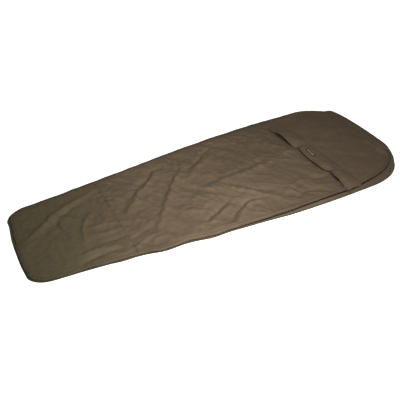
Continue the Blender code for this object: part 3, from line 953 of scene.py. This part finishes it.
def floorCloth():
    nearCut, farCut, footEnd = ends(nearLow, farLow, -1)
    nearEnd, farEnd, headEnd = ends(nearLow, farLow, 1)
    grid = coons(
        low=nearLow[nearCut:nearEnd + 1], high=farLow[farCut:farEnd + 1],
        start=footEnd, end=headEnd,
        rows=ground["rows"], columns=ground["columns"], crowd=ground["crowd"],
    )
    x, y = grid[..., 0], grid[..., 1]
    reach = 1 + ground["lip"] / np.maximum(np.hypot(x, y), 0.3)
    wave = softNoise(x, y, 0.05, 31) + softNoise(x, y, 0.15, 32)
    points = np.dstack([x * reach, y * reach, ground["height"] + ground["wave"] * wave])
    sheet = gridMesh("floorCloth", points, "floorFabric", thick=ground["thick"])
    belongs(sheet, "sack", "floor_panel")


floorCloth()
print("walls and floor sewn")

# Storm flap


def flapPoints():
    # rows run from the sewn rear edge to the hem, columns from the near end to the far end
    path = hemLine()
    y = np.linspace(flap["hemPath"][-1][0], flap["hemPath"][0][0], flap["columns"])
    hemX, hemZ, full = (np.interp(y, path[:, 0], path[:, k]) for k in (1, 2, 3))
    t = np.linspace(0, 1, flap["rows"])[:, None]
    # one curve per column, from the sewn edge over its fullness to the hem
    ax, az = flap["rearX"], flap["rearZ"] - flap["droop"] * fall(y, -0.4275, 0.035)
    bx, bz = ax - 0.036, az + 0.004 + 0.003 * full
    cx, cz = hemX + 0.024, hemZ + 0.004 + 0.013 * full
    b0, b1, b2, b3 = (1 - t) ** 3, 3 * (1 - t) ** 2 * t, 3 * (1 - t) * t**2, t**3
    x = b0 * ax + b1 * bx + b2 * cx + b3 * hemX
    z = b0 * az + b1 * bz + b2 * cz + b3 * hemZ
    yy = y[None, :] + 0 * t
    free = np.sin(math.pi * np.clip(t, 0, 1)) ** 0.7
    z = z + free * flap["wave"] * softNoise(yy, x * 0.6, 0.060, 41)
    z = z + smooth(t / 0.3) * flap["crumple"] * softNoise(yy, x, 0.018, 42)
    for pleat in flap["pleats"]:
        # cloth drawn in towards the pleat, with a ridge on either side
        away = (yy - pleat) / (0.010 + 0.030 * (1 - t))
        z = z - flap["pleatDeep"] * bump(away) * np.sin(math.pi * t**0.8) ** 1.2
        z = z + flap["pleatRidge"] * (bump(away - 1.9) + bump(away + 1.9)) * free
    return np.dstack([x, yy, z])


flapGrid = flapPoints()


def flapCloth():
    spread = 0 * flapGrid[..., 0]
    length = lengthAlong(flapGrid[:, flap["columns"] // 2])
    toHem = (length[-1] - length)[:, None] + spread
    # a dark line along the turned hem's stitching, and painted shade at the hem's edge, where shadow falls
    # under the flap
    shade = 0.8 * np.exp(-np.abs(toHem - flap["hemBand"]) / 0.0015) + np.exp(-toHem / 0.002)
    uv = np.dstack([flapGrid[..., 1], length[:, None] + spread])
    points = flapGrid.copy()
    points[..., 2] += flap["hemFold"] * smooth((flap["hemBand"] - toHem) / 0.0015)  # the turned hem
    look = {"uv": uv, "shade": np.clip(shade, 0, 1), "thick": flap["thick"], "flip": True}
    sheet = gridMesh("flapCloth", points, "shellFabric", **look)
    belongs(sheet, "flap", "storm_flap")


flapCloth()
print("flap sewn")

# Geometry node trees for what repeats


def newTree(name, inputs):
    tree = bpy.data.node_groups.new(name, "GeometryNodeTree")
    tree.interface.new_socket("Geometry", in_out="INPUT", socket_type="NodeSocketGeometry")
    for label, value in inputs.items():
        kind = "NodeSocketInt" if isinstance(value, int) else "NodeSocketFloat"
        tree.interface.new_socket(label, in_out="INPUT", socket_type=kind).default_value = value
    tree.interface.new_socket("Geometry", in_out="OUTPUT", socket_type="NodeSocketGeometry")
    nodes = Nodes(tree)
    nodes.add("NodeGroupInput")
    return nodes, {socket.name: Link(nodes, socket) for socket in nodes.last.outputs if socket.name}


def closeTree(nodes, geometry, material):
    real = nodes.add("GeometryNodeRealizeInstances", inputs=[geometry])
    nodes.add("GeometryNodeSetMaterial", None, {"Geometry": real, "Material": materials[material]})
    out = nodes.tree.nodes.new("NodeGroupOutput")
    nodes.tree.links.new(nodes.last.outputs[0], out.inputs[0])
    return nodes.tree


def runTree(name, source, tree, values, material):
    # the tree's result as a plain mesh object
    grow = source.modifiers.new("grow", "NODES")
    grow.node_group = tree
    for item in tree.interface.items_tree:
        if item.item_type == "SOCKET" and item.in_out == "INPUT" and item.name in values:
            grow[item.identifier] = values[item.name]
    bpy.context.view_layer.update()
    made = source.evaluated_get(bpy.context.evaluated_depsgraph_get())
    mesh = bpy.data.meshes.new_from_object(made)
    source.modifiers.remove(grow)
    bpy.data.objects.remove(source)
    mesh.name = name
    mesh.materials.clear()
    mesh.shade_smooth()
    return newObject(name, mesh, material)


def lines(name, paths):
    # paths of points as one curve object
    curve = bpy.data.curves.new(name, "CURVE")
    curve.dimensions = "3D"
    for path in paths:
        points = curve.splines.new("POLY").points
        points.add(len(path) - 1)
        points.foreach_set("co", floats(np.concatenate([path, np.ones((len(path), 1))], axis=1)))
    thing = bpy.data.objects.new(name, curve)
    bpy.context.scene.collection.objects.link(thing)
    return thing


def placeOn(nodes, points, shape, turn, size):
    values = {"Points": points, "Instance": shape, "Rotation": turn, "Scale": size}
    return nodes.add("GeometryNodeInstanceOnPoints", None, values)


def sizeOf(nodes, x, y, z):
    return nodes.add("ShaderNodeCombineXYZ", None, {"X": x, "Y": y, "Z": z})


def ball(nodes, segments, rings):
    sizes = {"Segments": segments, "Rings": rings, "Radius": 0.5}
    return nodes.add("GeometryNodeMeshUVSphere", None, sizes)


def rowTree(name, material, segments, rings):
    # the same small bead at even steps along curves: a stitch, or a coil of the zip
    sizes = {"Step": 0.004, "Length": 0.003, "Width": 0.0006, "Height": 0.0005, "Seed": 1}
    nodes, given = newTree(name, sizes)
    along = {"Curve": given["Geometry"], "Length": given["Step"]}
    nodes.add("GeometryNodeCurveToPoints", {"mode": "LENGTH"}, along)
    points, tangent = (Link(nodes, nodes.last.outputs[k]) for k in ("Points", "Tangent"))
    turn = nodes.add("FunctionNodeAlignRotationToVector", {"axis": "X"}, {"Vector": tangent})
    limits = {2: 0.92, 3: 1.08, "Seed": given["Seed"]}
    vary = nodes.add("FunctionNodeRandomValue", {"data_type": "FLOAT"}, limits, 1)
    size = sizeOf(nodes, given["Length"] * vary, given["Width"], given["Height"] * vary)
    return closeTree(nodes, placeOn(nodes, points, ball(nodes, segments, rings), turn, size), material)


def pileTree():
    # short fibres scattered over a patch
    sizes = {"Density": 900000.0, "Length": 0.0012, "Width": 0.00022, "Seed": 4}
    nodes, given = newTree("patchPile", sizes)
    scatter = {"Mesh": given["Geometry"], "Density": given["Density"], "Seed": given["Seed"]}
    nodes.add("GeometryNodeDistributePointsOnFaces", None, scatter)
    points, turn = (Link(nodes, nodes.last.outputs[k]) for k in ("Points", "Rotation"))
    limits = {0: (-0.7, -0.7, 0.0), 1: (0.7, 0.7, 6.28), "Seed": given["Seed"]}
    spin = nodes.add("FunctionNodeRandomValue", {"data_type": "FLOAT_VECTOR"}, limits)
    spin = nodes.add("FunctionNodeEulerToRotation", None, [spin])
    tilted = nodes.add("FunctionNodeRotateRotation", {"rotation_space": "LOCAL"}, [turn, spin])
    size = sizeOf(nodes, given["Width"], given["Width"], given["Length"])
    fibres = placeOn(nodes, points, ball(nodes, 4, 3), tilted, size)
    joined = nodes.add("GeometryNodeJoinGeometry", None, [fibres])
    nodes.tree.links.new(given["Geometry"].socket, nodes.last.inputs[0])
    return closeTree(nodes, joined, "patchPile")


stitchRow = rowTree("stitchRow", "thread", 6, 4)
coilRow = rowTree("coilRow", "teethPlastic", 8, 6)
pile = pileTree()


def ribbon(name, points, material, body, node, thick):
    # a narrow woven or coated tape from a grid of points
    across = lengthAlong(points[points.shape[0] // 2])
    along = lengthAlong(points[:, 0])
    uv = np.dstack([along[:, None] + 0 * across, across[None, :] + 0 * along[:, None]])
    tape = gridMesh(name, points, material, uv=uv, thick=thick)
    belongs(tape, body, node)
    return tape


# Sealing tape inside the seams

seal = {
    "inset": 0.007, "width": 0.022, "thick": 0.0004, "gap": 0.0012,
    "startX": -1.0, "endX": 0.588, "footInset": 0.038,
}


def underTop(xy):
    z = topHeight(xy[..., 0], xy[..., 1]) - cloth["thick"] - seal["gap"]
    return np.dstack([xy, z])


def sealTape(name, xy, node):
    ribbon(name, underTop(xy), "sealTape", "sack", node, seal["thick"])


def sealTapes():
    w = np.linspace(seal["inset"], seal["inset"] + seal["width"], 7)[None, :, None]
    for line, out, turn, name, node in (
        (farSeam, farOut, 1, "farSealTape", "seam_tape_right"),
        (nearSeam, nearOut, -1, "nearSealTape", "seam_tape_left"),
    ):
        keep = (line[:, 0] > seal["startX"]) & (line[:, 0] < seal["endX"])
        xy = line[keep][:, None, :] - out[keep][:, None, :] * w
        sealTape(name, xy[:, ::turn], node)
    x = seamAt["foot"] + np.linspace(-0.5, 0.5, 9) * seal["width"]
    low, high = straight(seamAt["foot"])[:, 1]
    y = np.linspace(low + seal["footInset"], high - seal["footInset"], 120)
    sealTape("footSealTape", np.dstack(np.meshgrid(x, y)), "foot_seam_tape")


sealTapes()

# Zip

zipper = {
    "x": 0.625,
    "chainEnds": (-0.4135, 0.2885),
    "tapeTop": 0.0477,
    "tapeWidth": 0.025,
    "tapeThick": 0.0007,
    "chainGap": 0.0012,
    "coilStep": 0.0021,
    "coilLong": 0.0056,
    "coilWide": 0.0013,
    "coilHigh": 0.0021,
}


def zipHalf(side, sign, body, shift):
    z = zipper
    w = np.linspace(0, z["tapeWidth"], 14)
    y = np.linspace(*seamAt["zipEnds"], 240)
    x = z["x"] + sign * (z["chainGap"] + w)
    gridY, gridX = np.meshgrid(y, x, indexing="ij")
    cord = 0.0002 * bump((w - 0.0010) / 0.0008) + 0.00012 * np.sin(w / 0.0016 * math.pi) ** 2
    points = np.dstack([gridX, gridY, z["tapeTop"] - 0.0002 + cord[None, :] + 0 * gridX])
    points = points[:, ::sign]
    word = side.capitalize()
    ribbon(f"zipTape{word}", points, "tapeWeave", body, f"zip_tape_{side}", z["tapeThick"])
    x = z["x"] + sign * (z["coilLong"] / 2 - 0.0002)
    y = np.arange(z["chainEnds"][0] + shift, z["chainEnds"][1], 0.02)
    top = z["tapeTop"] + 0.0003 + z["coilHigh"] / 2
    path = np.stack([x + 0 * y, y, top + 0 * y], axis=1)
    sizes = {"Step": z["coilStep"], "Length": z["coilWide"], "Width": z["coilLong"], "Height": z["coilHigh"]}
    path = lines("coilPath", [path])
    coils = runTree(f"zipCoil{word}", path, coilRow, {**sizes, "Seed": 3}, "teethPlastic")
    belongs(coils, body, f"zip_chain_{side}")


zipHalf("lower", -1, "sack", 0.0)
zipHalf("upper", 1, "hood", 0.00105)

hardware = {
    "zip_slider_left": ("sliderLeft", "slider_left"),
    "zip_slider_right": ("sliderRight", "slider_right"),
    "pull_tab_left": ("pullTabLeft", "tab_left"),
    "pull_tab_right": ("pullTabRight", "tab_right"),
    "zip_stop_lower_left": ("stopLowerLeft", "sack"),
    "zip_stop_lower_right": ("stopLowerRight", "sack"),
    "zip_stop_upper_left": ("stopUpperLeft", "hood"),
    "zip_stop_upper_right": ("stopUpperRight", "hood"),
}


def rounded(node, name, body):
    # the part's own form with its faces merged and its edges rounded
    form = bmesh.new()
    form.from_mesh(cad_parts[node].data)
    bmesh.ops.remove_doubles(form, verts=form.verts, dist=1e-6)
    bmesh.ops.dissolve_limit(form, angle_limit=math.radians(3), verts=form.verts, edges=form.edges)
    mesh = bpy.data.meshes.new(name)
    form.to_mesh(mesh)
    form.free()
    mesh.shade_smooth()
    part = newObject(name, mesh, "zipMetal")
    edge = part.modifiers.new("edge", "BEVEL")
    edge.width = 0.00024
    edge.segments = 2
    edge.limit_method = "ANGLE"
    edge.harden_normals = True
    belongs(part, body, node)


for node, (name, body) in hardware.items():
    rounded(node, name, body)
print("zip fitted")

# Patches, label and stitching

patches = {
    "y": (0.2625, -0.1125, -0.3975), "long": 0.030, "x": 0.604, "wide": 0.012, "thick": 0.0006,
    "fromHem": 0.006,
}


def flapAt(y, fromHem):
    # points on top of the flap: y along it, distances back from the hem
    columns = np.interp(y, flapGrid[0, :, 1], np.arange(flapGrid.shape[1]))
    low = np.clip(np.floor(columns).astype(int), 0, flapGrid.shape[1] - 2)
    line = mix(flapGrid[:, low], flapGrid[:, low + 1], (columns - low)[None, :, None])
    found = np.empty((len(y), len(fromHem), 3))
    for i in range(len(y)):
        back = line[::-1, i]
        along = lengthAlong(back)
        for k in range(3):
            found[i, :, k] = np.interp(fromHem, along, back[:, k])
    return found


def sunk(points, depth):
    # points moved down along the surface's own normals
    du, dv = np.gradient(points, axis=0), np.gradient(points, axis=1)
    normal = np.cross(du, dv)
    normal /= np.linalg.norm(normal, axis=2)[..., None]
    normal *= np.sign(normal[..., 2:3])
    return points - normal * depth


def fastenings():
    p = patches
    for number, y in enumerate(p["y"], 1):
        ys = np.linspace(y - p["long"] / 2, y + p["long"] / 2, 16)
        gx, gy = np.meshgrid(np.linspace(p["x"] - p["wide"] / 2, p["x"] + p["wide"] / 2, 8), ys)
        low = np.dstack([gx, gy, topHeight(gx, gy) + 0.0002 + p["thick"]])[:, ::-1]
        high = flapAt(ys, np.linspace(p["fromHem"], p["fromHem"] + p["wide"], 8))
        high = sunk(high, flap["thick"] + 0.0001)
        for kind, points, body in (("loop", low, "sack"), ("hook", high, "flap")):
            base = gridMesh(f"{kind}Base", points, "patchPile", thick=p["thick"])
            patch = runTree(f"{kind}Patch{number}", base, pile, {"Seed": number * 7 + len(kind)}, "patchPile")
            belongs(patch, body, f"{kind}_patch_{number}")


fastenings()

label = {
    "y": (-0.1275, -0.0325), "fromHem": (0.030, 0.054), "lift": 0.0009, "thick": 0.0006,
    "barY": (-0.1165, -0.0445), "barFrom": (0.040, 0.0445), "barLift": 0.0013, "barThick": 0.0004,
}


def wovenLabel():
    def onFlap(ys, back, lift, counts):
        return sunk(flapAt(np.linspace(*ys, counts[0]), np.linspace(*back, counts[1])), -lift)

    points = onFlap(label["y"], label["fromHem"], label["lift"], (60, 16))
    mark = onFlap(label["barY"], label["barFrom"], label["barLift"], (50, 4))
    sheet = ribbon("wovenLabel", points, "labelWeave", "flap", "woven_label", label["thick"])
    ribbon("labelBar", mark, "labelThread", "flap", None, label["barThick"])


wovenLabel()

sewing = {
    "step": 0.0042, "long": 0.0032, "wide": 0.0007, "high": 0.0005,
    "across": (  # x of the rows across the sack, and their body
        (-0.6165, "sack"), (-0.6235, "sack"), (0.6115, "sack"), (0.6025, "sack"), (0.6385, "hood"),
        (0.6465, "hood"),
    ),
    "edge": 0.0045,
    "lift": 0.0002,
}


def onTop(x, y, lift=0.0):
    return np.stack([x, y, topHeight(x, y) + lift + sewing["lift"]], axis=1)


def labelRows():
    inset, lift = 0.002, 0.0011
    (y0, y1), (f0, f1) = ((low + inset, high - inset) for low, high in (label["y"], label["fromHem"]))
    for f in (f0, f1):
        yield sunk(flapAt(np.linspace(y0, y1, 40), np.array([f, f + 0.001])), -lift)[:, 0]
    for y in (y0, y1):
        yield sunk(flapAt(np.array([y, y + 0.001]), np.linspace(f0, f1, 12)), -lift)[0]


def stitchRows():
    rows = {"sack": [], "hood": [], "flap": []}
    for x, body in sewing["across"]:
        low, high = straight(x)[:, 1]
        y = np.arange(low + 0.012, high - 0.012, 0.003)
        rows[body].append(onTop(x + 0 * y, y, lapLift(y) + 0.0002 if x < 0 else 0.0))
    for line, out in ((nearSeam, nearOut), (farSeam, farOut)):
        inner = line - out * sewing["edge"]
        for body, keep in (("sack", inner[:, 0] < 0.610), ("hood", inner[:, 0] > 0.640)):
            rows[body].append(onTop(inner[keep, 0], inner[keep, 1]))
    ys = np.arange(flap["hemPath"][-1][0] + 0.004, flap["hemPath"][0][0] - 0.004, 0.003)
    rows["flap"].append(flapAt(ys, np.array([flap["hemBand"] - 0.001]))[:, 0] + [0, 0, 0.0008])
    lift = [0, 0, sewing["lift"]]
    rows["flap"] += [flapGrid[row, 2:-2] + lift for row in (2, 4)]
    rows["flap"] += [flapGrid[2:-1, column] + lift for column in (3, -4)]
    rows["flap"] += labelRows()
    inputs = {"Step": "step", "Length": "long", "Width": "wide", "Height": "high"}
    sizes = {"Seed": 5, **{label: sewing[size] for label, size in inputs.items()}}
    for body, paths in rows.items():
        source = lines("stitchPath", paths)
        stitches = runTree(f"stitches{body.capitalize()}", source, stitchRow, sizes, "thread")
        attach(stitches, body)


stitchRows()
print("stitched")

# Camera, light and floor

view = {
    "place": (-1.2026, -2.0202, 1.7139),
    "ahead": (0.4798, 0.8774),
    "down": 37.9,
    "lens": 44.6,
}
def placed(name, data, place, aim):
    # an object of the scene looking along a direction
    thing = bpy.data.objects.new(name, data)
    bpy.context.scene.collection.objects.link(thing)
    thing.location = place
    thing.rotation_euler = aim.to_track_quat("-Z", "Y").to_euler()
    return thing


camera = bpy.data.cameras.new("camera")
camera.lens = view["lens"]
camera.sensor_width = 36.0
down = math.radians(view["down"])
heading = Vector((*view["ahead"], 0)).normalized() * math.cos(down) + Vector((0, 0, -math.sin(down)))
bpy.context.scene.camera = placed("camera", camera, view["place"], heading)

studio = {
    "keyPlace": (-0.36, -1.35, 1.30),
    "keyAim": (-0.12, 0.15, 0.0),
    "keySize": 0.4,
    "keySpread": 106.0,
    "keyPower": 17.3,
    "world": 0.20,
    "floorGlow": 1.0,
    "floorBounce": 0.12,
    "floorColour": (0.90, 0.90, 0.89),
    "floorRoughness": 0.9,
    "floorSize": 60,
    "floorLow": 0.0004,
}
world = bpy.data.worlds.new("studio")
bpy.context.scene.world = world
world.use_nodes = True
background = world.node_tree.nodes["Background"]
background.inputs["Color"].default_value = (1, 1, 1, 1)
background.inputs["Strength"].default_value = studio["world"]
key = bpy.data.lights.new("key", "AREA")
key.shape = "DISK"
key.size = studio["keySize"]
key.energy = studio["keyPower"]
key.spread = math.radians(studio["keySpread"])
keyAim = Vector(studio["keyAim"]) - Vector(studio["keyPlace"])
placed("key", key, studio["keyPlace"], keyAim).visible_camera = False


def studioFloor():
    # a pale floor; it looks lit evenly all over, and throws only a little light back at the sack
    far = studio["floorSize"]
    mesh = bpy.data.meshes.new("studioFloor")
    mesh.from_pydata([(-far, -far, 0), (far, -far, 0), (far, far, 0), (-far, far, 0)], [], [(0, 1, 2, 3)])
    material = bpy.data.materials.new("studioFloor")
    material.use_nodes = True
    tree = material.node_tree
    shader = tree.nodes["Principled BSDF"]
    shader.inputs["Base Color"].default_value = rgb(studio["floorColour"])
    shader.inputs["Roughness"].default_value = studio["floorRoughness"]
    shader.inputs["Emission Color"].default_value = (1, 1, 1, 1)
    seen = Nodes(tree).add("ShaderNodeLightPath")
    glow = seen * (studio["floorGlow"] - studio["floorBounce"]) + studio["floorBounce"]
    tree.links.new(glow.socket, shader.inputs["Emission Strength"])
    mesh.materials.append(material)
    floor = bpy.data.objects.new("studioFloor", mesh)
    bpy.context.scene.collection.objects.link(floor)
    floor.location.z = -studio["floorLow"]


studioFloor()
bpy.context.scene.view_settings.view_transform = "Standard"
print("studio lit")
